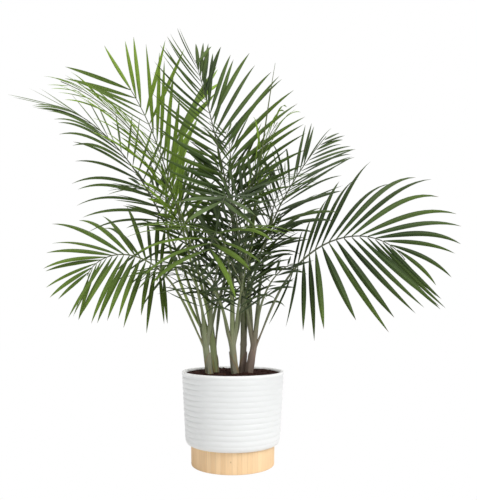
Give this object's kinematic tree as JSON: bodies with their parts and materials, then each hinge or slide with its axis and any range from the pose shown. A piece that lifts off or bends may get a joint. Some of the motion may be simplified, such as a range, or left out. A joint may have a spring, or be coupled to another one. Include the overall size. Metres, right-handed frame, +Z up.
{
  "type": "potted majesty palm",
  "caption": "Young majesty palm with arching feather fronds in a ribbed white round planter on a pale wooden foot.",
  "frame": {"origin": "centre of the wooden base's underside", "axes": "+Z up along the planter's axis; -Y towards the side the plant is seen from; +X to the right seen from there"},
  "size_m": [1.1447, 0.7342, 1.1888],
  "materials": {
    "planter_shell": "satin",
    "pale_wood": "matte",
    "soil": "matte",
    "stem_sheath": "matte",
    "leaf": "satin",
    "young_leaf": "satin"
  },
  "bodies": {
    "root": {"frond_back": "leaf", "frond_back_left": "leaf", "frond_back_low": "leaf", "frond_back_right": "leaf", "frond_far_left": "leaf", "frond_front": "leaf", "frond_front_high": "leaf", "frond_front_low": "leaf", "frond_inner_left": "leaf", "frond_inner_right": "leaf", "frond_left_arch": "leaf", "frond_low_left": "leaf", "frond_low_right": "leaf", "frond_nest_back": "leaf", "frond_nest_front": "leaf", "frond_nest_left": "leaf", "frond_nest_middle": "leaf", "frond_nest_right": "leaf", "frond_right": "leaf", "frond_right_arch": "leaf", "frond_top": "leaf", "frond_top_left": "leaf", "frond_young_left": "young_leaf", "frond_young_right": "young_leaf", "frond_young_top": "young_leaf", "planter_body": "planter_shell", "soil": "soil", "spear_leaf": "young_leaf", "stem_left_back": "stem_sheath", "stem_left_front": "stem_sheath", "stem_middle": "stem_sheath", "stem_right_back": "stem_sheath", "stem_right_front": "stem_sheath", "wooden_base": "pale_wood"}
  },
  "joints": []
}
